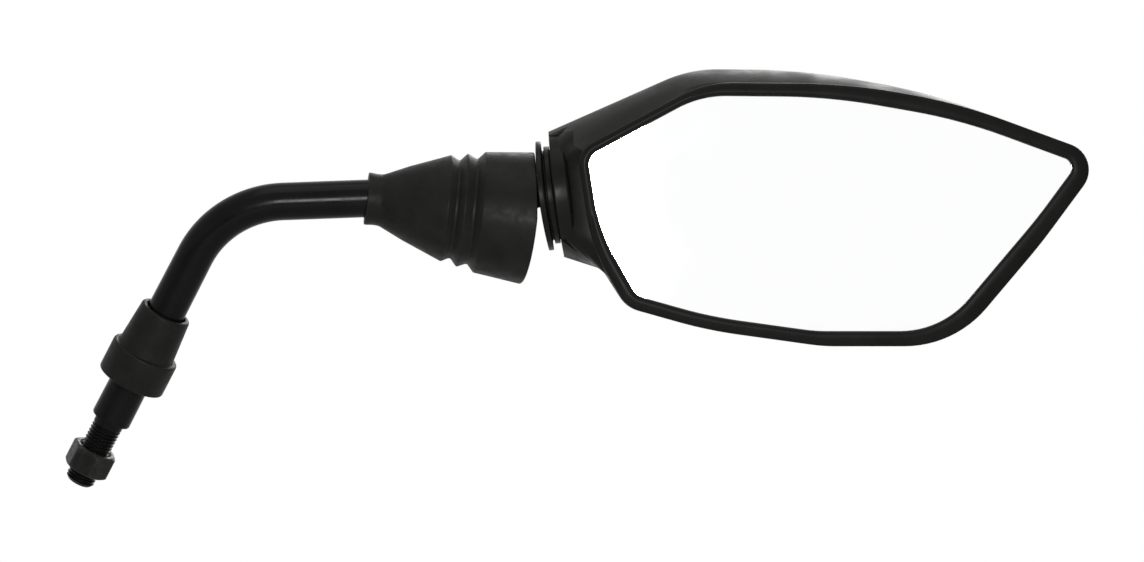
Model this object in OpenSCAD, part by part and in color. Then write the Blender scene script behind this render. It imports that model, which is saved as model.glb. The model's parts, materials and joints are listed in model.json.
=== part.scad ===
// Motorcycle mirror, right hand: a bent round stem with a threaded stud, a ball joint
// in the neck of the head, and a moulded head that holds the glass.
// Millimetres. The origin is the centre of the stud's shoulder, +X runs out to the tip
// of the head, +Y runs forward, away from the glass, and +Z runs up.

/* [Stud and nut] */
// Diameter of the threaded stud
stud_d = 10; // [8:0.5:12]
// Length of the stud from its tip to the shoulder
stud_len = 24.5; // [22:0.5:34]
// Chamfer at the stud's tip
stud_chamfer = 1; // [0.5:0.1:1.5]
// Width of the lock nut across its flats
nut_flats = 14; // [13:0.5:17]
// Height of the lock nut
nut_h = 8.5; // [6:0.5:9]
// Distance from the stud's shoulder to the nut's upper face
nut_drop = 11.4; // [9:0.2:13]
// Radial gap between the nut's bore and the stud
nut_gap = 0.05; // [0.02:0.01:0.1]
// Angle at which the nut has come to rest on the stud
nut_turn = -10; // [-30:1:30]

/* [Stem] */
// Diameter of the stem at the stud
stem_foot_d = 13.5; // [12.5:0.1:14.5]
// Diameter of the stem from the bend to the ball
stem_d = 12.6; // [11.5:0.1:13.5]
// Length from the shoulder to the corner of the two centrelines
lower_run = 84.8; // [76:0.5:110]
// Length from the corner to the centre of the ball
upper_run = 122.6; // [116:0.5:150]
// Radius of the bend's centreline
bend_r = 34; // [26:1:40]
// Angle of the lower run above the level, seen from the rider's side
stem_lean = 62.5; // [50:0.5:75]
// Angle by which the lower run leans back from the bottom up
stem_tilt = 17; // [0:1:30]
// Rise of the upper run towards the head
upper_rise = 2.1; // [0:0.1:6]

/* [Nut cover] */
// Distance from the shoulder to the cover's lower rim
cover_z = 15.4; // [14:0.2:18]
// Height of the cover's skirt
skirt_h = 11.5; // [10:0.5:14]
// Outer diameter of the skirt
skirt_d = 23.2; // [21:0.2:26]
// Wall of the skirt
skirt_wall = 1.9; // [1.4:0.1:2.2]
// Length of the cover's sleeve above the skirt
sleeve_len = 15.6; // [10:0.5:20]
// Diameter of the sleeve where it leaves the skirt
sleeve_d = 19.8; // [18:0.2:20.4]
// Diameter of the sleeve at its upper end
sleeve_top_d = 17.4; // [16.8:0.2:18]
// Radius of the cover's soft corners
cover_round = 1.3; // [0.6:0.1:1.6]
// Gap between the rubber pieces and the stem
rubber_gap = 0.3; // [0.2:0.05:0.4]

/* [Boot] */
// Smallest gap between the boot's mouth and the disc on the head's neck
boot_gap = 0.4; // [0.3:0.1:4]
// Angle by which the loose boot hangs below the stem
boot_droop = 9.1; // [5:0.1:9.5]
// Length of the boot
boot_len = 54; // [50:0.5:55]
// Diameter of the boot's neck
boot_neck_d = 17.3; // [16.8:0.1:18.5]
// Length of the boot's neck
boot_neck_len = 5; // [3:0.5:8]
// Diameter at the wide end of the boot's cone
boot_cone_d = 35.7; // [33:0.1:37]
// Depth of the two grooves behind the cone
boot_groove = 1.3; // [0.8:0.1:1.6]
// Diameter at the boot's mouth
boot_mouth_d = 44.3; // [42:0.1:46]
// Wall of the boot
boot_wall = 2; // [1.4:0.1:2.4]

/* [Ball joint] */
// Diameter of the ball
ball_d = 18; // [17:0.2:18.4]
// Diameter of the turned neck behind the ball
ball_neck_d = 9; // [8:0.2:9.4]
// Wall of the two ball seats
seat_wall = 2; // [1.5:0.1:2.2]
// Running gap of the ball and of the seats
joint_gap = 0.05; // [0.03:0.01:0.08]
// Wall of the pressure cup behind the seat
cup_wall = 1.5; // [1:0.1:2]
// Thickness of each disc spring
spring_t = 1; // [0.8:0.1:1.2]
// Height of each disc spring's cone
spring_cone = 0.8; // [0.6:0.1:1]
// Thickness of the retainer plate
plate_t = 2; // [1.5:0.1:3]
// Diameter of the two retainer screws
plate_screw_d = 4; // [3:0.5:4]

/* [Neck of the head] */
// Rise of the neck's axis towards the tip
neck_rise = 7.2; // [2:0.2:10]
// Diameter of the thin disc that the boot snaps over
disc_d = 36.6; // [35:0.2:38]
// Thickness of that disc
disc_t = 1.8; // [1.4:0.1:2.4]
// Distance from the ball's centre to the disc's middle
disc_at = 15; // [14.4:0.1:15.6]
// Diameter of the second ring
ring_d = 32.6; // [31.6:0.2:34]
// Width of the second ring
ring_t = 1.9; // [1.4:0.1:2.2]
// Diameter at the bottom of the two grooves
neck_groove_d = 30; // [29:0.2:31]
// Diameter of the neck where the head begins
boss_d = 41.5; // [39:0.5:43]
// Distance from the ball's centre to the end of the head's neck
boss_at = 11.2; // [10.8:0.1:11.6]
// Length of the neck's round boss
boss_len = 4.6; // [3.6:0.2:5.6]

/* [Head] */
// Width of the glass opening
glass_w = 163.2; // [140:1:180]
// Height of the glass opening
glass_h = 78.4; // [70:1:90]
// Height of the opening's lowest edge above the ball's centre
glass_drop = -47; // [-52:0.5:-42]
// Distance from the ball's centre forward to the back of the head
head_rear = 24; // [22:0.5:30]
// Distance from the ball's centre back to the front of the bezel
head_front = 24.2; // [23:0.2:26]
// Wall of the rear shell
shell_wall = 2.4; // [2:0.1:3]
// Height of shell that shows above the bezel along the top
shell_reveal = 4.6; // [2:0.1:5]
// Height of shell that shows above the bezel on the slope to the neck
slope_reveal = 6.4; // [4:0.1:8]

/* [Bezel] */
// Face width of the bezel along the top
bezel_top = 4.4; // [3.4:0.1:6]
// Face width on the slope to the neck
bezel_slope = 3.3; // [3:0.1:5]
// Face width at the outer end
bezel_side = 6; // [4:0.1:8]
// Face width along the bottom
bezel_bottom = 5; // [4:0.1:7]
// Face width beside the neck
bezel_neck = 3.8; // [3.2:0.1:6]
// Depth of the bezel from its front to the parting line
bezel_depth = 6; // [5:0.1:8]
// Thickness of the lip where the glass is nearest to it
lip_t = 1.7; // [1.4:0.1:2]
// Bevel round the bezel's outer front edge
bezel_bevel = 1.1; // [0.5:0.1:1.5]

/* [Glass and carrier] */
// Radius of the convex glass
glass_bow = 2000; // [1200:100:4000]
// Thickness of the glass
glass_t = 2.2; // [1.8:0.1:2.4]
// Width of glass that lies under the bezel's lip
glass_lap = 1.6; // [1:0.1:1.8]
// Thickness of the foam pad at its edge
pad_t = 1.2; // [0.8:0.1:1.4]
// Thickness of the carrier
carrier_t = 2.6; // [2.4:0.1:3]
// Diameter of the carrier's screws
carrier_screw_d = 3; // [2.5:0.5:3]

/* [Hidden] */
$fn = 96;
eps = 0.01;

// Directions and places along the stem
function aim(lean, tilt) = [cos(tilt) * cos(lean), -sin(tilt), cos(tilt) * sin(lean)];
lower_dir = aim(stem_lean, stem_tilt);
upper_dir = aim(upper_rise, 0);
neck_dir = aim(neck_rise, 0);
corner = lower_run * lower_dir;
ball_centre = corner + upper_run * upper_dir;
bend_angle = acos(lower_dir * upper_dir);
bend_reach = bend_r * tan(bend_angle / 2);
// The bend runs a little into both straight runs and is a hair thinner than they are
bend_lap = 1;
bend_step = 0.04;
foot_chamfer = 0.5;
neck_len = 15;
neck_sink = 2;
taper_len = 5;
// A cut runs this far past the face that it leaves through
over = 1;
// The boot's small end lies where the top of its mouth just clears the disc
boot_dir = aim(upper_rise - boot_droop, 0);
boot_up = [-boot_dir.z, 0, boot_dir.x];
mouth_top = boot_len * boot_dir + boot_mouth_d / 2 * boot_up;
boot_back = (disc_at + disc_t / 2 + boot_gap + mouth_top * neck_dir) / (upper_dir * neck_dir);
boot_at = upper_run - boot_back;

// Ball joint, measured from the ball's centre
ball_r = ball_d / 2;
seat_in_r = ball_r + joint_gap;
seat_out_r = seat_in_r + seat_wall;
socket_r = seat_out_r + joint_gap;
seat_mouth = 48;
seat_split = 8;
seat_hole = 25;
cup_r = socket_r + cup_wall;
cup_bore_r = cup_r + joint_gap;
cup_back = socket_r + cup_wall;
cup_rim = 4;
cut_r = 2 * seat_out_r;
spring_r = cup_r - 0.5;
spring_hole_r = spring_r / 2;
spring_slip = 0.03;
plate_at = cup_back + 2 * (spring_t + spring_cone) + 3 * spring_slip;
tube_wall = 2.2;
tube_r = cup_bore_r + tube_wall;
tube_end = 8;
post_r = plate_screw_d / 2 + 2;
post_at = boss_d / 2 - post_r - 0.5;
plate_screw_len = 12;
pilot_gap = 0.1;
mouth_r = 12.6;
throat_r = 8.6;
throat_at = 7.2;
mouth_at = disc_at + disc_t / 2;
edge_cut = 0.4;

// Depths of the head, measured along +Y
function bow_rise(x) = glass_bow - sqrt(glass_bow * glass_bow - x * x);
axis_y = ball_centre.y;
front_y = axis_y - head_front;
parting_y = front_y + bezel_depth;
// The glass bulges towards the rider; glass_y is the depth of its front at its rim
bow_reach = norm([glass_w / 2, glass_h / 4]) + 4;
bow_near = 0.42 * glass_h;
glass_y = front_y + lip_t + bow_rise(bow_reach) - bow_rise(bow_near);
pad_y = glass_y + glass_t;
carrier_y = pad_y + pad_t;
carrier_back = carrier_y + carrier_t;

// The glass opening: corners as shares of its width and height, each with its radius,
// clockwise from the upper corner beside the neck
glass_x = ball_centre.x - 0.7;
glass_z = ball_centre.z + glass_drop;
OPENING = [
  [0, 0.742, 5], [0.231, 1, 34], [0.494, 0.995, 200], [0.758, 0.899, 180],
  [1, 0.714, 3.5], [0.917, 0.48, 200], [0.722, 0, 30], [0.464, 0, 60],
  [0.25, 0.062, 150], [0.1, 0.15, 6], [0.023, 0.429, 60]
];
corners = len(OPENING);
opening = [for (c = OPENING) [glass_x + c.x * glass_w, glass_z + c.y * glass_h, c.z]];
// Face width of the bezel along each side of the opening
BEZEL = [
  bezel_slope, bezel_top, bezel_top + 1, bezel_top + 0.6, bezel_side, bezel_side + 0.4,
  bezel_bottom, bezel_bottom - 0.4, bezel_bottom - 0.4, bezel_neck + 1, bezel_neck - 0.6
];
// Shell that shows beyond the bezel along each side
REVEAL = [slope_reveal, shell_reveal, 0.43 * shell_reveal, 0, 0, 0, 0, 0, 0, 0, 0];
bezel_edge = widen(opening, BEZEL);
shell_edge = widen(bezel_edge, REVEAL);
arc_steps = 6;
turn_steps = 5;
side_points = 4;

// Helpers for outlines
function unit(v) = v / norm(v);
function left_of(v) = [-v.y, v.x];
function flat(p) = [p.x, p.y];

// Moves every side of a clockwise outline outwards by its own width
function widen(pts, widths) = let (n = len(pts)) [
  for (i = [0:n - 1])
    let (
      a = unit(flat(pts[i]) - flat(pts[(i + n - 1) % n])),
      b = unit(flat(pts[(i + 1) % n]) - flat(pts[i])),
      wa = widths[(i + n - 1) % n],
      wb = widths[i],
      turn = a.x * b.y - a.y * b.x,
      slide = abs(turn) < eps ? 0 : (wb - wa * (a * b)) / turn,
      q = flat(pts[i]) + wa * left_of(a) - slide * a
    )
    [q.x, q.y, pts[i].z + (wa + wb) / 2]
];
function even(n, w) = [for (i = [1:n]) w];

// Points of one rounded corner
function corner_arc(p, before, after, r, steps) =
  let (
    u = unit(before - p),
    v = unit(after - p),
    half = acos(u * v) / 2,
    c = p + unit(u + v) * r / sin(half),
    from = p + u * r / tan(half) - c,
    to = p + v * r / tan(half) - c,
    a = atan2(from.y, from.x),
    turn = (atan2(to.y, to.x) - a + 540) % 360 - 180
  )
  [for (k = [0:steps]) c + r * [cos(a + turn * k / steps), sin(a + turn * k / steps)]];
// An outline with round corners; fill is the number of points added on each side
function rounded(pts, fill = 0) =
  let (
    n = len(pts),
    arcs = [
      for (i = [0:n - 1])
        corner_arc(
          flat(pts[i]), flat(pts[(i + n - 1) % n]), flat(pts[(i + 1) % n]), pts[i].z, arc_steps
        )
    ]
  )
  [
    for (i = [0:n - 1])
      let (a = arcs[i][arc_steps], b = arcs[(i + 1) % n][0])
      each concat(arcs[i], [for (k = [1:1:fill]) a + (b - a) * k / (fill + 1)])
  ];

// Lofted skins
function at_depth(loop, y) = [for (p = loop) [p.x, y, p.y]];
function band_faces(n, m, wrap) = [
  for (k = [0:m - (wrap ? 1 : 2)], i = [0:n - 1])
    let (
      a = k * n + i,
      b = k * n + (i + 1) % n,
      c = ((k + 1) % m) * n + (i + 1) % n,
      d = ((k + 1) % m) * n + i
    )
    each [[a, b, c], [a, c, d]]
];

// A closed frame whose section runs through the rings
module frame(rings)
  polyhedron(
    points = [for (r = rings) each r],
    faces = band_faces(len(rings[0]), len(rings), true)
  );

// A bowl with a wall: rings run from the outer pole over the rim to the inner pole
module bowl(rings, outer_pole, inner_pole) {
  n = len(rings[0]);
  m = len(rings);
  polyhedron(
    points = concat([for (r = rings) each r], [outer_pole, inner_pole]),
    faces = concat(
      band_faces(n, m, false),
      [for (i = [0:n - 1]) [n * m, (i + 1) % n, i]],
      [for (i = [0:n - 1]) [n * m + 1, (m - 1) * n + i, (m - 1) * n + (i + 1) % n]]
    )
  );
}

// Frames of reference
module along_stud() rotate([stem_tilt, 90 - stem_lean, 0]) children();
module along_upper(t)
  translate(corner + t * upper_dir) rotate([0, 90 - upper_rise, 0]) children();
module along_neck() translate(ball_centre) rotate([0, 90 - neck_rise, 0]) children();
module along_boot()
  translate(corner + boot_at * upper_dir)
    rotate([0, 90 - upper_rise + boot_droop, 0]) children();
// A plate cut from an outline, from depth y to depth y + t
module plate(pts, y, t)
  translate([0, y + t, 0]) rotate([90, 0, 0]) linear_extrude(t) polygon(rounded(pts));
// A round rod along Y through [x, z], from depth y0 to depth y1
module peg(x, z, y0, y1, r)
  translate([x, y1, z]) rotate([90, 0, 0]) cylinder(r = r, h = y1 - y0);

// Stem: stud, foot, bend, upper run, turned neck and ball in one piece
module stem() color([0.07, 0.07, 0.07]) {
  side = unit(upper_dir - (upper_dir * lower_dir) * lower_dir);
  centre = corner - bend_reach * lower_dir + bend_r * side;
  axle = cross(-side, lower_dir);
  to_ball = upper_run - bend_reach;
  along_stud() rotate_extrude() polygon([
    [0, -stud_len], [stud_d / 2 - stud_chamfer, -stud_len], [stud_d / 2, stud_chamfer - stud_len],
    [stud_d / 2, 0], [stem_foot_d / 2 - foot_chamfer, 0], [stem_foot_d / 2, foot_chamfer],
    [stem_d / 2, lower_run - bend_reach], [0, lower_run - bend_reach]
  ]);
  multmatrix([
    [-side.x, lower_dir.x, axle.x, centre.x],
    [-side.y, lower_dir.y, axle.y, centre.y],
    [-side.z, lower_dir.z, axle.z, centre.z],
    [0, 0, 0, 1]
  ])
    rotate(-bend_lap) rotate_extrude(angle = bend_angle + 2 * bend_lap, $fn = 64)
      translate([bend_r, 0]) circle(d = stem_d - bend_step, $fn = 40);
  along_upper(bend_reach) rotate_extrude() polygon([
    [0, 0], [stem_d / 2, 0], [stem_d / 2, to_ball - neck_len - taper_len],
    [ball_neck_d / 2, to_ball - neck_len], [ball_neck_d / 2, to_ball - neck_sink],
    [0, to_ball - neck_sink]
  ]);
  along_upper(upper_run) sphere(d = ball_d, $fn = 64);
}

// Lock nut on the stud
module lock_nut() color([0.2, 0.2, 0.2]) {
  across = nut_flats / cos(30);
  lead = 1;
  sink = 0.8;
  bore_r = stud_d / 2 + nut_gap;
  along_stud() translate([0, 0, -nut_drop - nut_h]) difference() {
    intersection() {
      rotate(nut_turn) cylinder(d = across, h = nut_h, $fn = 6);
      rotate_extrude() polygon([
        [0, 0], [nut_flats / 2, 0], [across / 2 + eps, lead], [across / 2 + eps, nut_h - lead],
        [nut_flats / 2, nut_h], [0, nut_h]
      ]);
    }
    translate([0, 0, -over]) cylinder(r = bore_r, h = nut_h + 2 * over);
    translate([0, 0, -eps]) cylinder(r1 = bore_r + sink, r2 = bore_r, h = sink);
    translate([0, 0, nut_h - sink + eps]) cylinder(r1 = bore_r, r2 = bore_r + sink, h = sink);
  }
}

// A quarter turn of an edge with radius r round [x, z], from one angle to the next
function edge_turn(x, z, r, from) = [
  for (k = [0:turn_steps])
    let (a = from + 90 * k / turn_steps) [x + r * cos(a), z + r * sin(a)]
];

// Rubber cover that slides down the stem over the nut
module nut_cover() color([0.13, 0.13, 0.12]) {
  skirt_r = skirt_d / 2;
  inner_r = skirt_r - skirt_wall;
  bore_r = stem_foot_d / 2 + rubber_gap;
  roof = 1.5;
  rim_r = 0.6;
  fillet = 0.5;
  top = skirt_h + sleeve_len;
  outline = concat(
    [[bore_r, skirt_h - roof], [inner_r, skirt_h - roof - 1], [inner_r, 0]],
    edge_turn(skirt_r - rim_r, rim_r, rim_r, -90),
    edge_turn(skirt_r - cover_round, skirt_h - cover_round, cover_round, 0),
    [[sleeve_d / 2 + fillet, skirt_h], [sleeve_d / 2, skirt_h + fillet]],
    edge_turn(sleeve_top_d / 2 - cover_round, top - cover_round, cover_round, 0),
    [[bore_r, top]]
  );
  along_stud() translate([0, 0, cover_z]) rotate_extrude() polygon(outline);
}

// Outer profile of the boot as [distance from its small end, radius]
neck_r = boot_neck_d / 2;
cone_r = boot_cone_d / 2;
mouth_end_r = boot_mouth_d / 2;
cone_len = 0.495 * boot_len;
rib_pitch = 5.8;
rib_rise = 1.2;
flank = 2.4;
groove_flat = 0.8;
lip_len = 0.8;
lip_cut = 0.4;
BOOT = concat(
  [
    [0, neck_r], [0.5, neck_r + 0.15], [boot_neck_len * 0.6, neck_r - 0.1],
    [boot_neck_len, neck_r], [cone_len - 0.4, cone_r - 0.2], [cone_len, cone_r]
  ],
  [for (k = [0, 1])
    let (z = cone_len + k * rib_pitch, r = cone_r + k * rib_rise)
    each [
      [z + flank, r - boot_groove], [z + flank + groove_flat, r - boot_groove],
      [z + rib_pitch - groove_flat / 2, r + rib_rise]
    ]],
  [[boot_len - lip_len, mouth_end_r], [boot_len, mouth_end_r - lip_cut]]
);
// The boot as a closed block, drawn in by inset and made longer by reach at both ends
module boot_form(inset, reach)
  rotate_extrude() polygon(concat(
    [[0, -reach], [neck_r - inset, -reach]],
    [for (p = BOOT) [p.y - inset, p.x]],
    [[mouth_end_r - lip_cut - inset, boot_len + reach], [0, boot_len + reach]]
  ));

// Rubber boot, off its seat: its neck still grips the stem and its mouth hangs
module boot() color([0.14, 0.14, 0.13]) difference() {
  along_boot() boot_form(0, 0);
  along_boot() intersection() {
    boot_form(boot_wall, over);
    translate([0, 0, boot_neck_len]) cylinder(r = boot_mouth_d, h = boot_len);
  }
  along_upper(boot_at - boot_neck_len)
    cylinder(r = stem_d / 2 + rubber_gap, h = boot_len + 2 * boot_neck_len);
}

// A cone from the ball's centre that takes in all within an angle of +Z
module ball_cut(a) cylinder(r1 = 0, r2 = cut_r * tan(a), h = cut_r);

// Plain bearing rings that the ball turns in
module ball_seat_front() color([0.85, 0.83, 0.76]) along_neck() intersection() {
  difference() {
    sphere(r = seat_out_r);
    sphere(r = seat_in_r);
    mirror([0, 0, 1]) ball_cut(seat_mouth);
  }
  translate([0, 0, -cut_r]) cylinder(r = cut_r, h = cut_r - seat_out_r * sin(seat_split));
}
module ball_seat_rear() color([0.85, 0.83, 0.76]) along_neck() intersection() {
  difference() {
    sphere(r = seat_out_r);
    sphere(r = seat_in_r);
    ball_cut(seat_hole);
  }
  translate([0, 0, seat_out_r * sin(seat_split)]) cylinder(r = cut_r, h = cut_r);
}

// Steel cup that the springs press on the rear seat
module pressure_cup() color([0.55, 0.55, 0.57]) along_neck() difference() {
  translate([0, 0, cup_rim]) cylinder(r = cup_r, h = cup_back - cup_rim);
  sphere(r = socket_r);
}

// Two disc springs, set against each other
module disc_spring() rotate_extrude() polygon([
  [spring_hole_r, spring_cone], [spring_r, 0], [spring_r, spring_t],
  [spring_hole_r, spring_cone + spring_t]
]);
module disc_springs() color([0.45, 0.45, 0.47]) along_neck() {
  middle = cup_back + spring_t + spring_cone;
  translate([0, 0, middle + spring_slip]) mirror([0, 0, 1]) disc_spring();
  translate([0, 0, middle + 2 * spring_slip]) disc_spring();
}

// Plate that closes the joint from behind
module retainer_plate() color([0.6, 0.6, 0.62])
  along_neck() translate([0, 0, plate_at]) difference() {
    union() {
      cylinder(r = cup_r, h = plate_t);
      translate([-post_at, -post_r, 0]) cube([2 * post_at, 2 * post_r, plate_t]);
      for (s = [-1, 1]) translate([s * post_at, 0, 0]) cylinder(r = post_r, h = plate_t);
    }
    translate([0, 0, -over]) cylinder(r = spring_hole_r - 1, h = plate_t + 2 * over);
    for (s = [-1, 1])
      translate([s * post_at, 0, -over])
        cylinder(d = plate_screw_d + 2 * pilot_gap, h = plate_t + 2 * over);
  }

// A pan-head screw, head at the origin, shank along -Z
module pan_screw(d, len) {
  head_h = 0.6 * d;
  slot_w = 0.24 * d;
  tip = 1;
  difference() {
    rotate_extrude() polygon([[0, 0], [d, 0], [d, 0.35 * d], [0.75 * d, head_h], [0, head_h]]);
    for (a = [0, 90]) rotate(a) translate([-d / 2, -slot_w / 2, head_h / 2]) cube([d, slot_w, d]);
  }
  translate([0, 0, tip - len]) cylinder(d = d, h = len - tip + eps);
  translate([0, 0, -len]) cylinder(d1 = 0.4 * d, d2 = d, h = tip);
}
module retainer_screws() color([0.5, 0.5, 0.52]) along_neck()
  for (s = [-1, 1])
    translate([s * post_at, 0, plate_at + plate_t]) pan_screw(plate_screw_d, plate_screw_len);

// Rear shell
shell_inset = 0.3;
shell_neck_r = boss_d / 2 - shell_inset;
shell_neck_at = boss_at - 0.5;
// Middle of the head, towards which its back closes
heart = [glass_x + 0.46 * glass_w, glass_z + 0.54 * glass_h];
// Corner under the neck, measured from the ball's centre
under = [ball_centre.x + 4.2, ball_centre.z - 26.4];
under_r = 3;
// On the parting line that corner lies at this share of the bezel's last side but one
rim_share = 0.47;
// The wall is thinner at the parting line, where the glass lies inside it
rim_wall = 1.3;
back_turns = [for (a = [84:-7:0]) a];
front_turns = [12, 24, 36, 48, 60];
full_turn = 70;
function neck_point(t, h) =
  let (p = ball_centre + t * neck_dir + h * [-neck_dir.z, 0, neck_dir.x]) [p.x, p.z];

// Half outline of the head away from the neck: the shell's corners but for the first and
// the last, then the corner under the neck
function head_loop(edge, t, r, low) =
  let (
    top = neck_point(t, r),
    bottom = neck_point(t, -r),
    pts = concat(
      [[top.x, top.y, 0]], [for (i = [1:corners - 2]) edge[i]], [low], [[bottom.x, bottom.y, 0]]
    ),
    n = len(pts)
  )
  [
    for (i = [1:n - 2])
      each corner_arc(
        flat(pts[i]), flat(pts[i - 1]), flat(pts[i + 1]), pts[i].z, arc_steps
      )
  ];

// A ring from the neck's upper edge round the head to its lower edge; the neck's ends
// lie at depth y and the head's points at depth head_y
function ring_of(points, t, h, y, head_y) =
  let (top = neck_point(t, h), bottom = neck_point(t, -h))
  concat([[top.x, y, top.y]], at_depth(points, head_y), [[bottom.x, y, bottom.y]]);

// Rings of one skin from the back to the parting line
function shell_skin(inset) =
  let (
    edge = widen(shell_edge, even(corners, -inset)),
    rim = widen(bezel_edge, even(corners, -min(inset, rim_wall))),
    rim_end = flat(rim[corners - 1]),
    rim_low = rim_end + rim_share * (flat(rim[corners - 2]) - rim_end),
    t = inset - shell_neck_at,
    r = shell_neck_r - inset,
    depth = head_rear - inset,
    front = axis_y - parting_y,
    loop = head_loop(edge, t, r, [under.x + inset / 2, under.y + inset, under_r]),
    rim_loop = head_loop(rim, t, r, [rim_low.x, rim_low.y, under_r])
  )
  concat(
    [for (a = back_turns)
      let (s = sqrt(cos(a)))
      ring_of(
        [for (p = loop) heart + s * (p - heart)],
        t, r * cos(a), axis_y + r * sin(a), axis_y + depth * sin(a)
      )],
    [for (a = front_turns)
      let (w = pow(a / full_turn, 2))
      ring_of(
        [for (i = [0:len(loop) - 1]) loop[i] * (1 - w) + rim_loop[i] * w],
        t, r * cos(a), axis_y - r * sin(a), axis_y - front * a / full_turn
      )],
    [at_depth(
      concat([flat(rim[0]) + [0.6, -3]], rim_loop, [rim_end + [0.2, 2]]), parting_y
    )]
  );
module shell_wall_form() {
  outer = shell_skin(0);
  inner = shell_skin(shell_wall);
  m = len(inner);
  bowl(
    concat(outer, [for (k = [m - 1:-1:0]) inner[k]]),
    [heart.x, axis_y + head_rear, heart.y],
    [heart.x, axis_y + head_rear - shell_wall, heart.y]
  );
}

// Disc, ring, boss and joint tube, turned about the neck's axis
module neck_form() along_neck() {
  disc_r = disc_d / 2;
  groove_r = neck_groove_d / 2;
  boss_r = boss_d / 2;
  ring_end = -boss_at - edge_cut;
  boss_end = boss_len - boss_at;
  core_r = throat_r - 1;
  rotate_extrude() polygon([
    [core_r, -mouth_at], [disc_r - edge_cut, -mouth_at], [disc_r, edge_cut - mouth_at],
    [disc_r, disc_t - mouth_at], [groove_r, disc_t - mouth_at],
    [groove_r, ring_end - ring_t], [ring_d / 2, ring_end - ring_t],
    [ring_d / 2, ring_end], [groove_r, ring_end],
    [groove_r, -boss_at], [boss_r - edge_cut, -boss_at], [boss_r, edge_cut - boss_at],
    [boss_r, boss_end - 2 * edge_cut], [boss_r - 2 * edge_cut, boss_end],
    [tube_r, boss_end], [tube_r, tube_end], [core_r, tube_end]
  ]);
  for (s = [-1, 1])
    translate([s * post_at, 0, boss_end - 2]) cylinder(r = post_r, h = plate_at - boss_end + 2);
}
module joint_bore() along_neck() {
  sphere(r = socket_r);
  cylinder(r = cup_bore_r, h = plate_at - eps);
  translate([0, 0, -throat_at - eps]) cylinder(r = throat_r, h = throat_at);
  translate([0, 0, -mouth_at - over])
    cylinder(r1 = mouth_r, r2 = throat_r, h = mouth_at + over - throat_at);
  for (s = [-1, 1])
    translate([s * post_at, 0, plate_at + plate_t - plate_screw_len - 1])
      cylinder(d = plate_screw_d + 2 * pilot_gap, h = plate_screw_len);
}
// Places of the four carrier posts as [x, z]
posts = [
  for (p = [[-0.24, 0.14], [-0.2, -0.2], [0.24, 0.12], [0.14, -0.24]])
    heart + [p.x * glass_w, p.y * glass_h]
];
carrier_post_r = carrier_screw_d / 2 + 2;
carrier_screw_len = 9;
carrier_hole_r = carrier_screw_d / 2 + pilot_gap;
// The posts end inside the shell's back wall
post_short = 0.6;
module rear_shell() color([0.23, 0.23, 0.22]) difference() {
  union() {
    shell_wall_form();
    neck_form();
    for (p = posts)
      peg(p.x, p.y, carrier_back, axis_y + head_rear - shell_wall - post_short, carrier_post_r);
  }
  joint_bore();
  for (p = posts)
    peg(p.x, p.y, carrier_back - over, carrier_back + carrier_screw_len, carrier_hole_r);
}

// Depth of the glass's front at a place of the outline
function glass_front(p) =
  glass_y + bow_rise(norm(p - glass_middle)) - bow_rise(bow_reach);
lip_gap = 0.1;
rim_gap = 0.2;
lip_round = 0.6;
function at_glass(loop) = [for (p = loop) [p.x, glass_front(p) - lip_gap, p.y]];

// Front bezel, closed round the glass
module bezel() color([0.14, 0.14, 0.135]) {
  outer = rounded(bezel_edge, side_points);
  shoulder = rounded(widen(bezel_edge, even(corners, -bezel_bevel)), side_points);
  lip_out = rounded(widen(opening, even(corners, lip_round)), side_points);
  lip = rounded(opening, side_points);
  rebate = rounded(widen(opening, even(corners, glass_lap + rim_gap)), side_points);
  frame([
    at_depth(outer, parting_y),
    at_depth(outer, front_y + bezel_bevel),
    at_depth(shoulder, front_y),
    at_depth(lip_out, front_y),
    at_depth(lip, front_y + lip_round),
    at_glass(lip),
    at_glass(rebate),
    at_depth(rebate, parting_y)
  ]);
}

// Glass, pad and carrier
glass_middle = [glass_x + glass_w / 2, glass_z + glass_h / 2];
bow_steps = 12;
carrier_inset = 2;
pad_inset = 3;
// The carrier's screws are sunk to this depth below its front
screw_sink = 0.6 * carrier_screw_d + 0.1;
// A round block whose front is domed to the glass's radius; its rim lies at depth y
module domed(y, t)
  translate([glass_middle.x, y, glass_middle.y]) rotate([-90, 0, 0])
    rotate_extrude() polygon(concat(
      [for (k = [0:bow_steps])
        let (x = bow_reach * k / bow_steps) [x, bow_rise(x) - bow_rise(bow_reach)]],
      [[bow_reach, t], [0, t]]
    ));
module mirror_glass() color([0.85, 0.88, 0.9]) difference() {
  intersection() {
    plate(widen(opening, even(corners, glass_lap)), glass_y - lip_t, glass_t + 2 * lip_t);
    domed(glass_y, glass_t + lip_t);
  }
  domed(pad_y, glass_t + 2 * lip_t);
}
module foam_pad() color([0.2, 0.2, 0.21]) intersection() {
  plate(widen(opening, even(corners, -pad_inset)), pad_y - lip_t, pad_t + lip_t);
  domed(pad_y, pad_t + lip_t);
}
module glass_carrier() color([0.3, 0.3, 0.3]) difference() {
  plate(widen(opening, even(corners, -carrier_inset)), carrier_y, carrier_t);
  for (p = posts) {
    peg(p.x, p.y, carrier_y - over, carrier_back + over, carrier_hole_r);
    peg(p.x, p.y, carrier_y - over, carrier_y + screw_sink, carrier_screw_d + rim_gap);
  }
}
module carrier_screws() color([0.55, 0.55, 0.57])
  for (p = posts)
    translate([p.x, carrier_y + screw_sink, p.y]) rotate([90, 0, 0])
      pan_screw(carrier_screw_d, carrier_screw_len);

stem();
lock_nut();
nut_cover();
boot();
ball_seat_front();
ball_seat_rear();
pressure_cup();
disc_springs();
retainer_plate();
retainer_screws();
rear_shell();
bezel();
mirror_glass();
foam_pad();
glass_carrier();
carrier_screws();
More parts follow.
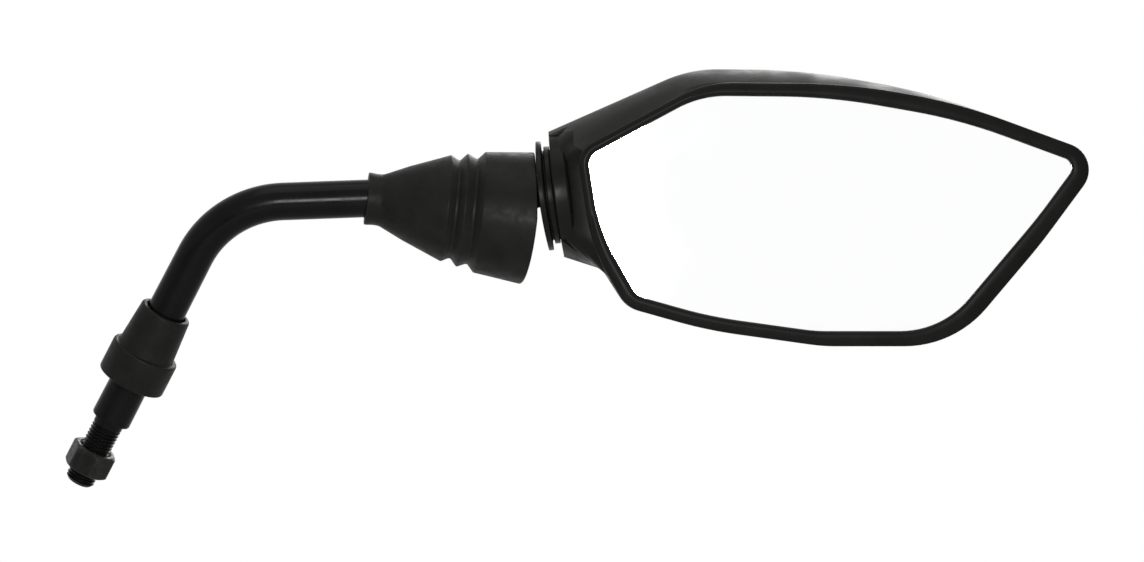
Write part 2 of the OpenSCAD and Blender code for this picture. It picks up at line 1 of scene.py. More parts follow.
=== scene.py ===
# A right-hand motorcycle mirror: bent stem, loose rubber boot, ball joint and moulded head.
# Sizes in this file are millimetres, and mesh_piece turns them into metres.
import json
import math

import bpy
import numpy as np
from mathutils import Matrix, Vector


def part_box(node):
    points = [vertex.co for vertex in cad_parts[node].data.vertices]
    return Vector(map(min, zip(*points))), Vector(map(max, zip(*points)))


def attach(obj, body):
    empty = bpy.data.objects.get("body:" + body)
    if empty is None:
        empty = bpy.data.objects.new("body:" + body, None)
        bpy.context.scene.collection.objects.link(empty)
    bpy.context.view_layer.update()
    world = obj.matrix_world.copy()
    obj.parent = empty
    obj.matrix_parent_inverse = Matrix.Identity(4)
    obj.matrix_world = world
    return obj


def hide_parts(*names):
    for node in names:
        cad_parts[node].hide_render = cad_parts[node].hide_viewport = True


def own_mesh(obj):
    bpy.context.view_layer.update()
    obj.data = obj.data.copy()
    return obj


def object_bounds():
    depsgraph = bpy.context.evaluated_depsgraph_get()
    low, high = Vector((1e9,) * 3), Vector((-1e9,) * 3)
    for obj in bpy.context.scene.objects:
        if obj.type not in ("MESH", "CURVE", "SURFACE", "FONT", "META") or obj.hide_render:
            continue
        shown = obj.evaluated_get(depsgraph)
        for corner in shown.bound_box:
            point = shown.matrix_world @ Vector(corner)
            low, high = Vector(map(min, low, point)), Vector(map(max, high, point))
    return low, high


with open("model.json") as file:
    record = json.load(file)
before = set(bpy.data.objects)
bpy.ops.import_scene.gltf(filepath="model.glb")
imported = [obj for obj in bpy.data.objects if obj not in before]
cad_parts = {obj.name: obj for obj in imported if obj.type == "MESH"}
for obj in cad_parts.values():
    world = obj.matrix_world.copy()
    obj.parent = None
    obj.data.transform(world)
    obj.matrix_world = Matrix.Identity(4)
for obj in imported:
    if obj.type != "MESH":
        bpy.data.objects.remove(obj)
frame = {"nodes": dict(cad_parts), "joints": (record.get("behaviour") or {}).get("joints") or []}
cad_low, cad_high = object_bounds()

# Studio
# A white surround and a pale floor well below the part, as for a catalogue picture.
# A near lamp in front makes the soft lights on the paint, and two more fill in from above
# and from behind.
scene = bpy.context.scene
scene.view_settings.view_transform = "Standard"
PHOTO_W, PHOTO_H = 1144, 562
PIXELS_PER_MM = 3.0
SHOULDER_PIXEL = (109.5, 419.5)
CAMERA_AWAY, SENSOR = 9000.0, 36.0
SIGHT_END_M = 100
view_x = (PHOTO_W / 2 - SHOULDER_PIXEL[0]) / PIXELS_PER_MM
view_z = (SHOULDER_PIXEL[1] - PHOTO_H / 2) / PIXELS_PER_MM
joints = {joint["name"]: joint for joint in frame["joints"]}
ball = 1000 * np.array(joints["head_swing"]["pos_m"])
camera = bpy.data.objects.new("camera", bpy.data.cameras.new("camera"))
scene.collection.objects.link(camera)
camera.location = (view_x / 1000, (ball[1] - CAMERA_AWAY) / 1000, view_z / 1000)
camera.rotation_euler = (math.radians(90), 0, 0)
camera.data.sensor_width = SENSOR
camera.data.lens = SENSOR * CAMERA_AWAY / (PHOTO_W / PIXELS_PER_MM)
camera.data.clip_end = SIGHT_END_M
scene.camera = camera


def lamp(name, place, size, power):
    """A square area lamp at a place in metres, turned towards the middle of the view."""
    light = bpy.data.lights.new(name, "AREA")
    light.size = size
    light.energy = power
    holder = bpy.data.objects.new(name, light)
    scene.collection.objects.link(holder)
    holder.location = place
    aim = Vector((view_x / 1000, 0, view_z / 1000)) - Vector(place)
    holder.rotation_euler = aim.to_track_quat("-Z", "Y").to_euler()
    holder.visible_camera = False


lamp("front_lamp", (0.085, -0.62, 0.085), 0.12, 2.3)
lamp("top_lamp", (0.1, -0.3, 1.3), 0.9, 4)
lamp("rear_lamp", (0.5, 1.4, 0.7), 0.8, 8)


def add(tree, kind, inputs=None, **settings):
    """A new node of a kind, with its settings and the values of its unlinked inputs."""
    node = tree.nodes.new("ShaderNode" + kind)
    for key, value in settings.items():
        setattr(node, key, value)
    for key, value in (inputs or {}).items():
        node.inputs[key].default_value = value
    return node


SURROUND = (1, 1, 1, 1)
FILL = (0.5, 0.5, 0.5, 1)
MIX_A, MIX_B, MIX_OUT = 6, 7, 2
world = bpy.data.worlds.new("surround")
scene.world = world
world.use_nodes = True
tree = world.node_tree
rays = add(tree, "LightPath")
seen = add(tree, "Math", operation="MAXIMUM")
seen_through = add(tree, "Math", operation="MAXIMUM")
shade = add(tree, "Mix", {MIX_A: FILL, MIX_B: SURROUND}, data_type="RGBA")
tree.links.new(rays.outputs["Is Camera Ray"], seen.inputs[0])
tree.links.new(rays.outputs["Is Glossy Ray"], seen.inputs[1])
tree.links.new(seen.outputs[0], seen_through.inputs[0])
tree.links.new(rays.outputs["Is Transmission Ray"], seen_through.inputs[1])
tree.links.new(seen_through.outputs[0], shade.inputs[0])
tree.links.new(shade.outputs[MIX_OUT], tree.nodes["Background"].inputs["Color"])

# The floor's drop below the part and its half width are metres
FLOOR_DROP, FLOOR_HALF = 0.12, 4.0
FLOOR_SHADE, FLOOR_ROUGH = (0.86, 0.86, 0.85, 1), 0.9
floor_z = cad_low.z - FLOOR_DROP
floor_turns = ((-1, -1), (1, -1), (1, 1), (-1, 1))
floor_data = bpy.data.meshes.new("floor")
floor_data.from_pydata(
    [(x * FLOOR_HALF, y * FLOOR_HALF, floor_z) for x, y in floor_turns], [], [(0, 1, 2, 3)]
)
floor = bpy.data.objects.new("floor", floor_data)
scene.collection.objects.link(floor)
floor_paint = bpy.data.materials.new("floor_paint")
floor_paint.use_nodes = True
floor_shader = floor_paint.node_tree.nodes["Principled BSDF"]
floor_shader.inputs["Base Color"].default_value = FLOOR_SHADE
floor_shader.inputs["Roughness"].default_value = FLOOR_ROUGH
floor_data.materials.append(floor_paint)


# Stem
# One steel rod, threaded and stepped at its foot, bent over a former and turned down to a
# ball at its upper end. It is painted gloss black all over, thread and ball included.
lower_dir = np.array(joints["cover_slide"]["axis"])
upper_dir = np.array(joints["boot_slide"]["axis"])
STUD_R, STUD_LEN, STUD_CHAMFER = 5.0, 24.5, 1.0
FOOT_R, STEM_R, BEND_R = 6.75, 6.3, 34.0
BALL_R, BALL_NECK_R, BALL_NECK_LEN, TAPER_LEN = 9.0, 4.5, 15.0, 5.0
THREAD_PITCH, THREAD_DEPTH, THREAD_END = 1.25, 0.72, -2.2
# The thread's crest and its flank are shares of half a pitch
THREAD_CREST, THREAD_FLANK = 0.125, 0.625
FOOT_STEP, FOOT_ROUND, SHOULDER_GAP = 0.02, 0.5, 0.1


def unit(v):
    """A vector at length one."""
    v = np.asarray(v, float)
    return v / np.linalg.norm(v)


# The corner of the two centrelines is where the lower run meets the upper run
runs = np.linalg.lstsq(np.column_stack([lower_dir, upper_dir]), ball, rcond=None)[0]
lower_run, upper_run = runs
bend_side = unit(upper_dir - (upper_dir @ lower_dir) * lower_dir)
bend_angle = math.acos(lower_dir @ upper_dir)
bend_reach = BEND_R * math.tan(bend_angle / 2)
bend_start = lower_run - bend_reach
bend_end = bend_start + BEND_R * bend_angle
ball_at = bend_end + upper_run - bend_reach
across = unit(np.cross(lower_dir, upper_dir))


def rod_at(s):
    """Centre and direction of the rod at a length s above the shoulder."""
    if s < bend_start:
        return s * lower_dir, lower_dir
    if s < bend_end:
        turn = (s - bend_start) / BEND_R
        middle = bend_start * lower_dir + BEND_R * bend_side
        place = middle + BEND_R * (math.sin(turn) * lower_dir - math.cos(turn) * bend_side)
        return place, math.cos(turn) * lower_dir + math.sin(turn) * bend_side
    return ball + (s - ball_at) * upper_dir, upper_dir


def ring(centre, direction, side, radii):
    """Points round a centre; side is square to the direction and starts the turn's quarter."""
    turn = np.arange(len(radii)) * 2 * math.pi / len(radii)
    start = np.cross(side, direction)
    spokes = np.outer(np.cos(turn), start) + np.outer(np.sin(turn), side)
    return centre + np.asarray(radii)[:, None] * spokes


def lofted(rings, joined=False):
    """Points and faces of a skin through rings of equal count; joined closes it like a tube
    bent round on itself, and otherwise both ends are closed."""
    count, around = len(rings), len(rings[0])
    faces = []
    for k in range(count if joined else count - 1):
        low, high = k * around, (k + 1) % count * around
        for i in range(around):
            j = (i + 1) % around
            faces.append((low + i, low + j, high + j, high + i))
    if not joined:
        faces.append(tuple(range(around))[::-1])
        faces.append(tuple(range((count - 1) * around, count * around)))
    return np.concatenate(rings), faces


def mesh_piece(name, points, faces, material, sharp=35):
    """An object in metres from points in millimetres, smooth but for its sharp edges."""
    data = bpy.data.meshes.new(name)
    data.from_pydata((np.asarray(points) / 1000).tolist(), [], faces)
    piece = bpy.data.objects.new(name, data)
    scene.collection.objects.link(piece)
    data.materials.append(material)
    settle(piece, sharp)
    return piece


def settle(piece, sharp=35):
    """Turns the faces outwards and shades them smooth, with edges past an angle left sharp."""
    bpy.context.view_layer.objects.active = piece
    bpy.ops.object.select_all(action="DESELECT")
    piece.select_set(True)
    bpy.ops.object.mode_set(mode="EDIT")
    bpy.ops.mesh.select_all(action="SELECT")
    bpy.ops.mesh.normals_make_consistent(inside=False)
    bpy.ops.object.mode_set(mode="OBJECT")
    bpy.ops.object.shade_smooth_by_angle(angle=math.radians(sharp))


def thread_cut(s, turn):
    """Depth of the thread's groove at a length and at angles round the stud."""
    rise = np.clip((s + STUD_LEN - STUD_CHAMFER / 2) / STUD_CHAMFER, 0, 1)
    fade = rise * np.clip((THREAD_END - s) / THREAD_PITCH, 0, 1)
    share = np.abs(2 * ((s / THREAD_PITCH - turn / (2 * math.pi)) % 1) - 1)
    return THREAD_DEPTH * fade * np.clip((share - THREAD_CREST) / THREAD_FLANK, 0, 1)


def rod_radius(s):
    """Outer radius of the rod at a length above the shoulder, without the thread."""
    lengths = [
        -STUD_LEN, STUD_CHAMFER - STUD_LEN, -FOOT_STEP, 0, 0.3 * FOOT_ROUND, FOOT_ROUND,
        bend_start, ball_at - BALL_NECK_LEN - TAPER_LEN, ball_at - BALL_NECK_LEN,
    ]
    radii = [
        STUD_R - STUD_CHAMFER, STUD_R, STUD_R, FOOT_R - FOOT_ROUND, FOOT_R - 0.3 * FOOT_ROUND,
        FOOT_R, STEM_R, STEM_R, BALL_NECK_R,
    ]
    return float(np.interp(s, lengths, radii))


ROD_SIDES, PITCH_RINGS, LOWER_RINGS, BEND_RINGS, UPPER_RINGS, BALL_RINGS = 72, 10, 24, 50, 30, 26
turn = np.arange(ROD_SIDES) * 2 * math.pi / ROD_SIDES
stations = np.concatenate([
    np.arange(-STUD_LEN, -SHOULDER_GAP, THREAD_PITCH / PITCH_RINGS), [-FOOT_STEP],
    FOOT_ROUND * np.array([0, 0.3, 0.64, 1]), np.linspace(2 * FOOT_ROUND, bend_start, LOWER_RINGS),
    np.linspace(bend_start, bend_end, BEND_RINGS)[1:],
    np.linspace(bend_end, ball_at - BALL_NECK_LEN - TAPER_LEN, UPPER_RINGS)[1:],
    ball_at - BALL_NECK_LEN - TAPER_LEN * (1 - np.array([0.03, 0.5, 0.97, 1])),
])
stem_rings = []
for s in stations:
    place, direction = rod_at(s)
    radii = rod_radius(s) - thread_cut(s, turn)
    stem_rings.append(ring(place, direction, across, radii))
POLE_TURN = 0.04
for angle in np.linspace(math.asin(BALL_NECK_R / BALL_R) - math.pi, -POLE_TURN, BALL_RINGS):
    place = ball + BALL_R * math.cos(angle) * upper_dir
    radii = np.full(ROD_SIDES, -BALL_R * math.sin(angle))
    stem_rings.append(ring(place, upper_dir, across, radii))


PATCH_STOPS, FILM_RANGE = (0.35, 0.68), (0.35, 0.65)
WORN_RANGE, WORN_SHARE = (0.53, 0.62), 0.8


def mapped(tree, source, source_range, target_range):
    """An output with one range of values spread over another."""
    node = add(tree, "MapRange", {
        "From Min": source_range[0], "From Max": source_range[1],
        "To Min": target_range[0], "To Max": target_range[1],
    })
    tree.links.new(source, node.inputs["Value"])
    return node.outputs[0]


def coating(name, dark, light, patch, rough, grain, metal=0.0, specular=0.5, worn=None):
    """A coated or moulded surface. dark and light are its two shades, patch the size of
    their patches, rough its least and most roughness, grain its bumps as (kind, size,
    height), and worn the shade that shows through along edges."""
    material = bpy.data.materials.new(name)
    material.use_nodes = True
    tree = material.node_tree
    link = tree.links.new
    shader = tree.nodes["Principled BSDF"]
    shader.inputs["Metallic"].default_value = metal
    shader.inputs["Specular IOR Level"].default_value = specular
    where = add(tree, "TexCoord").outputs["Object"]
    cloud = add(tree, "TexNoise", {"Scale": 1000 / patch, "Detail": 6, "Roughness": 0.6})
    shades = add(tree, "ValToRGB")
    for stop, place, shade in zip(shades.color_ramp.elements, PATCH_STOPS, (dark, light)):
        stop.position = place
        stop.color = (*shade, 1)
    link(where, cloud.inputs["Vector"])
    link(cloud.outputs[0], shades.inputs[0])
    colour = shades.outputs["Color"]
    if worn:
        pointed = add(tree, "NewGeometry").outputs["Pointiness"]
        blend = add(tree, "Mix", {MIX_B: (*worn, 1)}, data_type="RGBA")
        link(mapped(tree, pointed, WORN_RANGE, (0, WORN_SHARE)), blend.inputs[0])
        link(colour, blend.inputs[MIX_A])
        colour = blend.outputs[MIX_OUT]
    link(colour, shader.inputs["Base Color"])
    film = add(tree, "TexNoise", {"Scale": 3000 / patch, "Detail": 3})
    link(where, film.inputs["Vector"])
    link(mapped(tree, film.outputs[0], FILM_RANGE, rough), shader.inputs["Roughness"])
    normal = None
    for kind, size, height in grain:
        texture = add(tree, kind, {"Scale": 1000 / size})
        bump = add(tree, "Bump", {"Strength": 1.0, "Distance": height / 1000})
        link(where, texture.inputs["Vector"])
        link(texture.outputs[0], bump.inputs["Height"])
        if normal:
            link(normal, bump.inputs["Normal"])
        normal = bump.outputs["Normal"]
    link(normal, shader.inputs["Normal"])
    return material


stem_paint = coating(
    "stem_paint", (0.0022, 0.0022, 0.0022), (0.004, 0.004, 0.0039), 14, (0.19, 0.27),
    [("TexNoise", 1.6, 0.004), ("TexNoise", 0.3, 0.001)], specular=0.07,
)
stem = mesh_piece("painted_stem", *lofted(stem_rings), stem_paint)
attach(stem, "stem")
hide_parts("stem")


# Lock nut
# A hexagon nut of black-oxide steel, chamfered at both faces and run down on the stud.
# Its corners are a little rounded and show bare steel where a spanner has been.
NUT_FLATS, NUT_H, NUT_TOP, NUT_BORE_R, NUT_SINK = 14.0, 8.5, -11.4, 5.05, 0.8
NUT_SIDES, NUT_FACE_R = 144, 6.75
CORNER_WEAR, CORNER_SPREAD = 0.22, math.radians(2.5)
LEAD_TURN, LEAD_LEAST = math.radians(30), 0.05
stud_side = unit([lower_dir[2], 0, -lower_dir[0]])
stud_across = np.cross(lower_dir, stud_side)
NUT_TURN = math.radians(-10)
turn = np.arange(NUT_SIDES) * 2 * math.pi / NUT_SIDES
off_flat = np.abs((turn - NUT_TURN) % (math.pi / 3) - math.pi / 6)
off_corner = math.pi / 6 - off_flat
worn_off = CORNER_WEAR * np.exp(-((off_corner / CORNER_SPREAD) ** 2))
hexagon = NUT_FLATS / 2 / np.cos(off_flat) - worn_off
lead = np.maximum(hexagon - NUT_FACE_R, LEAD_LEAST) * math.tan(LEAD_TURN)


def nut_ring(height, radii):
    """A ring of the nut at heights over its lower face, each with its own radius."""
    base = (NUT_TOP - NUT_H) * lower_dir
    spokes = np.outer(np.cos(turn), stud_side) + np.outer(np.sin(turn), stud_across)
    height, radii = np.broadcast_to(height, turn.shape), np.broadcast_to(radii, turn.shape)
    return base + height[:, None] * lower_dir + radii[:, None] * spokes


EDGE = 0.12
nut_rings = [
    nut_ring(0, NUT_BORE_R + NUT_SINK), nut_ring(0, NUT_FACE_R),
    nut_ring(lead - EDGE / 2, hexagon - EDGE), nut_ring(lead + EDGE, hexagon),
    nut_ring(NUT_H / 2, hexagon),
    nut_ring(NUT_H - lead - EDGE, hexagon), nut_ring(NUT_H - lead + EDGE / 2, hexagon - EDGE),
    nut_ring(NUT_H, NUT_FACE_R), nut_ring(NUT_H, NUT_BORE_R + NUT_SINK),
    nut_ring(NUT_H - NUT_SINK, NUT_BORE_R), nut_ring(NUT_SINK, NUT_BORE_R),
]
nut_steel = coating(
    "black_oxide", (0.005, 0.005, 0.005), (0.013, 0.013, 0.012), 3, (0.3, 0.48),
    [("TexNoise", 0.5, 0.006)], metal=0.3, specular=0.12, worn=(0.07, 0.07, 0.066),
)
nut = mesh_piece("hexagon_lock_nut", *lofted(nut_rings, joined=True), nut_steel, 20)
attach(nut, "stem")
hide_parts("lock_nut")


# Nut cover
# A moulded rubber cap that has been slid up the stem. Its sleeve grips the foot of the
# stem, and its wider skirt drops over the lock nut once the mirror is screwed down.
COVER_AT, SKIRT_H, SKIRT_R, SKIRT_WALL = 15.4, 11.5, 11.6, 1.9
SLEEVE_LEN, SLEEVE_R, SLEEVE_TOP_R = 15.6, 9.9, 8.7
GRIP_R = FOOT_R + 0.3
TURNED_SIDES = 128


def soft_corners(points, closed=True, steps=5):
    """An outline with an arc at each corner; a point is (x, y, radius of its corner)."""
    arcs = []
    count = len(points)
    for i, (x, y, radius) in enumerate(points):
        at_end = not closed and i in (0, count - 1)
        if radius <= 0 or at_end:
            arcs.append(np.array([[x, y]]))
            continue
        here = np.array([x, y], float)
        before, after = np.array(points[i - 1][:2]), np.array(points[(i + 1) % count][:2])
        arcs.append(corner_arc(here, before, after, radius, steps))
    return arcs


def corner_arc(here, before, after, radius, steps):
    """Points of the arc that rounds one corner of an outline."""
    u, v = unit(before - here), unit(after - here)
    half = math.acos(np.clip(u @ v, -1, 1)) / 2
    reach = min(np.linalg.norm(before - here), np.linalg.norm(after - here)) * 0.49
    radius = min(radius, reach * math.tan(half))
    middle = here + unit(u + v) * radius / math.sin(half)
    first = here + u * radius / math.tan(half) - middle
    last = here + v * radius / math.tan(half) - middle
    start = math.atan2(first[1], first[0])
    sweep = (math.atan2(last[1], last[0]) - start + 3 * math.pi) % (2 * math.pi) - math.pi
    angles = start + sweep * np.arange(steps + 1) / steps
    return middle + radius * np.column_stack([np.cos(angles), np.sin(angles)])


def turned(profile, base, direction, side):
    """Rings of a piece turned about an axis; profile gives (height, radius) from the base."""
    return [
        ring(base + height * direction, direction, side, np.full(TURNED_SIDES, radius))
        for height, radius in profile
    ]


cover_top = SKIRT_H + SLEEVE_LEN
cover_profile = np.concatenate(soft_corners([
    (SKIRT_H - 1.5, GRIP_R, 0.2), (SKIRT_H - 2.5, SKIRT_R - SKIRT_WALL, 0.8),
    (4, SKIRT_R - SKIRT_WALL, 0), (0, SKIRT_R - SKIRT_WALL, 0.5), (0, SKIRT_R, 0.6),
    (5, SKIRT_R, 0), (SKIRT_H, SKIRT_R, 1.3), (SKIRT_H, SLEEVE_R, 0.5),
    (SKIRT_H + 5, (2 * SLEEVE_R + SLEEVE_TOP_R) / 3, 0), (cover_top, SLEEVE_TOP_R, 1.3),
    (cover_top, GRIP_R, 0.3), (SKIRT_H + 6, GRIP_R, 0),
]))
rubber = coating(
    "moulded_rubber", (0.0052, 0.0054, 0.0049), (0.0088, 0.009, 0.0081), 9, (0.38, 0.52),
    [("TexNoise", 2.2, 0.02), ("TexNoise", 0.35, 0.006)], specular=0.07,
)
cover_rings = turned(cover_profile, COVER_AT * lower_dir, lower_dir, across)
cover = mesh_piece("rubber_nut_cover", *lofted(cover_rings, joined=True), rubber)
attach(cover, "nut_cover")
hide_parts("nut_cover")


# Boot
# A soft rubber boot whose mouth should snap over the disc on the head's neck. It has come
# off, so its small end still grips the stem while the ribbed cone and the mouth hang down.
BOOT_LEN, BOOT_WALL, BOOT_DROOP = 54.0, 2.0, 9.1
BOOT_NECK_R, BOOT_NECK_LEN, CONE_R, MOUTH_R = 8.65, 5.0, 17.85, 22.15
CONE_LEN, RIB_PITCH, RIB_RISE, GROOVE, FLANK, FLAT = 26.73, 5.8, 1.2, 1.3, 2.4, 0.8
RIBS, WAIST_AT, INNER_RINGS = 2, 44, 44
boot_turn = math.atan2(upper_dir[2], upper_dir[0]) - math.radians(BOOT_DROOP)
boot_dir = np.array([math.cos(boot_turn), 0, math.sin(boot_turn)])
neck_dir = np.array(joints["head_roll"]["axis"])
DISC_AT, DISC_T, BOOT_GAP = 15.0, 1.8, 0.4
boot_up = np.array([-boot_dir[2], 0, boot_dir[0]])
mouth_top = (BOOT_LEN * boot_dir + MOUTH_R * boot_up) @ neck_dir
boot_back = (DISC_AT + DISC_T / 2 + BOOT_GAP + mouth_top) / (upper_dir @ neck_dir)
boot_base = ball - boot_back * upper_dir
ribs = []
for k in range(RIBS):
    z, r = CONE_LEN + k * RIB_PITCH, CONE_R + k * RIB_RISE
    ribs += [
        (z + FLANK, r - GROOVE, 0.5), (z + FLANK + FLAT, r - GROOVE, 0.5),
        (z + RIB_PITCH - FLAT / 2, r + RIB_RISE, 0.7),
    ]
boot_outside = np.concatenate(soft_corners([
    (0, BOOT_NECK_R - 0.2, 0), (0.15, BOOT_NECK_R + 0.1, 0.2),
    (0.9, BOOT_NECK_R + 0.1, 0.3), (3, BOOT_NECK_R - 0.1, 1),
    (BOOT_NECK_LEN, BOOT_NECK_R, 4), (CONE_LEN / 2, (BOOT_NECK_R + CONE_R) / 2 - 0.75, 30),
    (CONE_LEN, CONE_R, 0.7), *ribs, (WAIST_AT, CONE_R + 3.1, 20),
    (BOOT_LEN, MOUTH_R, 0.5), (BOOT_LEN, MOUTH_R - BOOT_WALL, 0.4),
], closed=False))
inner_heights = np.concatenate([
    np.linspace(BOOT_LEN - 0.6, BOOT_NECK_LEN + 1, INNER_RINGS),
    [BOOT_NECK_LEN, BOOT_NECK_LEN / 2, 0],
])
# Near its small end the boot's bore keeps the stem's own direction
slope, LEAN_END, LEAN_FADE = np.tan(math.radians(BOOT_DROOP)), 12, 7
# The loose mouth is also turned a little, so that its near side lies nearer to the head. The
# turn starts at a share of the boot's length and fades towards the top, where the disc is near
MOUTH_TURN, MOUTH_TOP, TURN_FROM = 0.112, 26.0, 0.6


def boot_wall_at(z):
    """Radius of the boot's outside, with the ribs' grooves evened out, less its wall."""
    plain = np.interp(z, [0, BOOT_NECK_LEN, CONE_LEN, WAIST_AT, BOOT_LEN],
                      [BOOT_NECK_R, BOOT_NECK_R, CONE_R - 0.9, CONE_R + 2.4, MOUTH_R])
    return plain - BOOT_WALL


boot_rings = turned(boot_outside, boot_base, boot_dir, across)
for z in inner_heights:
    lean = slope * z * np.clip((LEAN_END - z) / LEAN_FADE, 0, 1)
    radius = max(STEM_R + 0.3, boot_wall_at(z))
    centre = boot_base + z * boot_dir + lean * boot_up
    boot_rings.append(ring(centre, boot_dir, across, np.full(TURNED_SIDES, radius)))
for i, points in enumerate(boot_rings):
    share = (points - boot_base) @ boot_dir / BOOT_LEN
    rise = np.clip((share - TURN_FROM) / (1 - TURN_FROM), 0, 1)
    height = (points - boot_base) @ boot_up
    low_share = np.clip(1 - height / MOUTH_TOP, 0, 1)
    swing = MOUTH_TURN * rise**2 * low_share * (ball[1] - points[:, 1])
    boot_rings[i] = points + swing[:, None] * boot_dir
boot = mesh_piece("rubber_boot", *lofted(boot_rings, joined=True), rubber, 50)
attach(boot, "boot")
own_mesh(boot)
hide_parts("boot")


# Rear shell
# The head's back is a moulding of grained black plastic. The collar of its neck is smoother;
# the wall beside the collar is given the collar's darker plastic, as painted shade. The collar
# holds the ball joint, and a ring and a thin disc stand on it for the boot's mouth.
GLASS_W, GLASS_H = 163.2, 78.4
GLASS_LEFT, GLASS_LOW = ball[0] - 0.7, ball[2] - 47
HEAD_REAR, SHELL_WALL, RIM_WALL = 24.0, 2.4, 1.3
FRONT_Y = 1000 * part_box("bezel")[0].y
PARTING_Y = 1000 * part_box("bezel")[1].y
BOSS_R, BOSS_AT, BOSS_LEN = 20.75, 11.2, 4.6
CORNER_SHARES = [
    (0, 0.742, 5), (0.231, 1, 34), (0.494, 0.995, 200), (0.758, 0.899, 180),
    (1, 0.714, 3.5), (0.917, 0.48, 200), (0.722, 0, 30), (0.464, 0, 60),
    (0.25, 0.062, 150), (0.1, 0.15, 6), (0.023, 0.429, 60),
]
opening = [(GLASS_LEFT + x * GLASS_W, GLASS_LOW + z * GLASS_H, r) for x, z, r in CORNER_SHARES]
BEZEL_FACE = [3.3, 4.4, 5.4, 5.0, 6.0, 6.4, 5.0, 4.6, 4.6, 4.8, 3.2]
SLOPE_REVEAL, TOP_REVEAL = 6.4, 4.6
REVEAL = [SLOPE_REVEAL, TOP_REVEAL, 0.43 * TOP_REVEAL] + [0] * 8
CORNERS = len(opening)
ARC_STEPS, SIDE_GAP = 12, 3.0


def widen(corners, widths):
    """Moves each side of a clockwise outline outwards by its own width."""
    widths = np.broadcast_to(widths, len(corners))
    moved = []
    for i, (x, z, radius) in enumerate(corners):
        here = np.array([x, z])
        a = unit(here - np.array(corners[i - 1][:2]))
        b = unit(np.array(corners[(i + 1) % len(corners)][:2]) - here)
        before, after = widths[i - 1], widths[i]
        bend = a[0] * b[1] - a[1] * b[0]
        slide = 0 if abs(bend) < 0.01 else (after - before * (a @ b)) / bend
        place = here + before * np.array([-a[1], a[0]]) - slide * a
        moved.append((place[0], place[1], radius + (before + after) / 2))
    return moved


def side_counts(blocks, gap=SIDE_GAP):
    """How many points to add after each block of a ring, so that they lie a gap apart."""
    return [
        int(np.linalg.norm(blocks[(i + 1) % len(blocks)][0] - block[-1]) // gap)
        for i, block in enumerate(blocks)
    ]


def run_together(blocks, counts):
    """One ring from its blocks of points, with straight stretches filled in between."""
    points = []
    for i, block in enumerate(blocks):
        after = blocks[(i + 1) % len(blocks)][0]
        share = np.arange(1, counts[i] + 1)[:, None] / (counts[i] + 1)
        points += [block, block[-1] + share * (after - block[-1])]
    return np.concatenate(points)


def at_depth(outline, depth):
    """Points of the row's frame from an outline of (x, z), at one depth or at a depth each."""
    outline = np.asarray(outline)
    depth = np.broadcast_to(depth, len(outline))
    return np.column_stack([outline[:, 0], depth, outline[:, 1]])


bezel_edge = widen(opening, BEZEL_FACE)
shell_edge = widen(bezel_edge, REVEAL)
HEART_X, HEART_Z = 0.46, 0.54
heart = np.array([GLASS_LEFT + HEART_X * GLASS_W, GLASS_LOW + HEART_Z * GLASS_H])
UNDER_X, UNDER_Z, UNDER_R = 4.2, -26.4, 3.0
under = np.array([ball[0] + UNDER_X, ball[2] + UNDER_Z])
RIM_SHARE, RIM_TURN, BACK_SOFTEN = 0.47, 70, 7.0
NECK_INSET, NECK_SHORT, SKIN_STEP = 0.3, 0.05, 0.6
SHELL_NECK_R, SHELL_NECK_AT = BOSS_R - NECK_INSET, BOSS_AT - NECK_SHORT
neck_side = np.array([-neck_dir[2], 0, neck_dir[0]])
# Above and below the neck the rim ends at these offsets from the bezel's edge
RIM_ENDS = ((0.6, -3), (0.2, 2))
# In front of these turns, above and below the neck, the skin dips under the collar
SEAM_TURNS, COLLAR_SINKS, COLLAR_REACH = (19, 42), (1.8, 0.8), 7.0
# Within this outline of (x, z) from the ball, the front wall beside the collar is painted
# with the collar's darker plastic, as painted shade
PAINTED_SHADE_OUTLINE = [
    (-18, -30), (-18, 17), (-14.2, 18.1), (-5.5, 20.4),
    (-5.2, 14.8), (-2.2, 13.1), (8, 4), (8, -30),
]
# Past this turn the wall beside the neck stays back, as a shallow recess by the bezel
WALL_TURN = math.radians(50)


def neck_point(along, height, depth):
    """A point of the neck, along its axis from the ball and at a height and a depth."""
    place = ball + along * neck_dir + height * neck_side
    return np.array([place[0], depth, place[2]])


def head_blocks(edge, along, radius, low, soften):
    """Arcs of the head's outline away from the neck, ending with the corner under it."""
    top, bottom = neck_point(along, radius, 0)[[0, 2]], neck_point(along, -radius, 0)[[0, 2]]
    corners = [(*top, 0)] + edge[1 : CORNERS - 1] + [low] + [(*bottom, 0)]
    blocks = []
    for i in range(1, len(corners) - 1):
        here, before, after = (np.array(corners[j][:2]) for j in (i, i - 1, i + 1))
        blocks.append(corner_arc(here, before, after, corners[i][2] + soften, ARC_STEPS))
    return blocks


